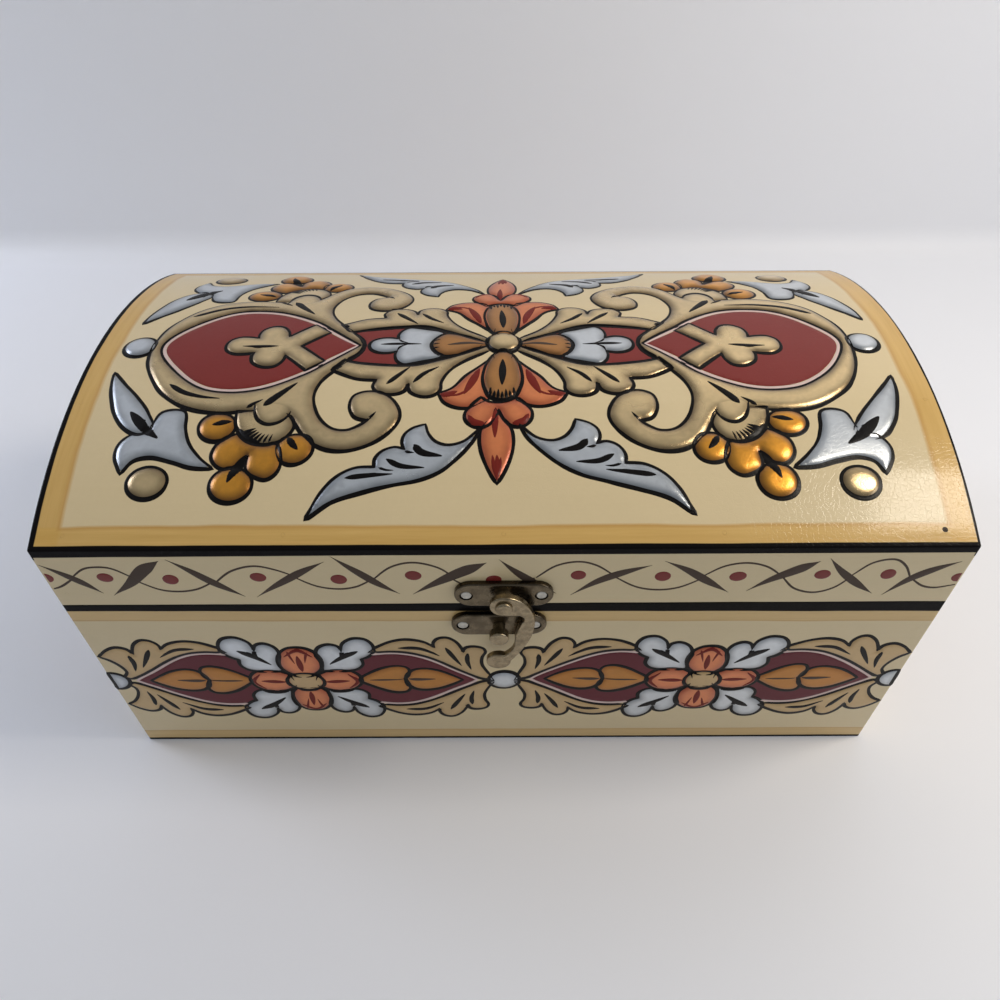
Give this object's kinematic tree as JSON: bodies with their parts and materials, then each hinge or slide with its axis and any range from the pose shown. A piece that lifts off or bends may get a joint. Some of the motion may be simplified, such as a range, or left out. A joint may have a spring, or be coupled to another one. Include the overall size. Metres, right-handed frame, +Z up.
{
  "type": "painted wooden box",
  "caption": "Hinged wooden keepsake box with a low domed lid, painted scroll ornament and a swing hook latch on the front.",
  "frame": {"origin": "middle of the box's underside, on the resting face", "axes": "+X along the length to the viewer's right, +Y from the latch to the hinges, +Z up"},
  "size_m": [0.3, 0.1776, 0.1408],
  "materials": {
    "painted_wood": "cream paint with ochre and black bands under clear gloss varnish",
    "ornament_paint": "raised painted ornament in gold, silver, copper, maroon and black",
    "antique_bronze": "darkened bronze plating, worn bright on the edges",
    "zinc_nail": "bright zinc",
    "brad_steel": "plain wire"
  },
  "bodies": {
    "base": {"base_front_panel": "painted_wood", "base_back_panel": "painted_wood", "base_left_end": "painted_wood", "base_right_end": "painted_wood", "base_bottom_panel": "painted_wood", "left_hinge_base_leaf": "antique_bronze", "right_hinge_base_leaf": "antique_bronze", "left_hinge_pin": "antique_bronze", "right_hinge_pin": "antique_bronze", "hinge_base_nails": "antique_bronze", "latch_base_plate": "antique_bronze", "latch_post": "antique_bronze", "latch_base_nails": "zinc_nail", "base_wall_brads": "brad_steel", "base_bottom_brads": "brad_steel"},
    "lid": {"lid_front_rail": "painted_wood", "lid_back_rail": "painted_wood", "lid_left_end": "painted_wood", "lid_right_end": "painted_wood", "lid_top_skin": "painted_wood", "left_hinge_lid_leaf": "antique_bronze", "right_hinge_lid_leaf": "antique_bronze", "hinge_lid_nails": "antique_bronze", "latch_lid_plate": "antique_bronze", "latch_pivot_rivet": "antique_bronze", "latch_lid_nails": "zinc_nail", "lid_skin_brads": "brad_steel", "lid_wall_brads": "brad_steel"},
    "latch_hook": {"latch_hook": "antique_bronze"}
  },
  "joints": [
    {"name": "lid_hinge", "type": "hinge", "parent": "base", "child": "lid", "pos_m": [0, 0.0849, 0.094], "axis": [-1, 0, 0], "range_deg": [0, 180]},
    {"name": "hook_swing", "type": "hinge", "parent": "lid", "child": "latch_hook", "pos_m": [0, -0.083, 0.1008], "axis": [0, -1, 0], "range_deg": [-6, 180]}
  ]
}
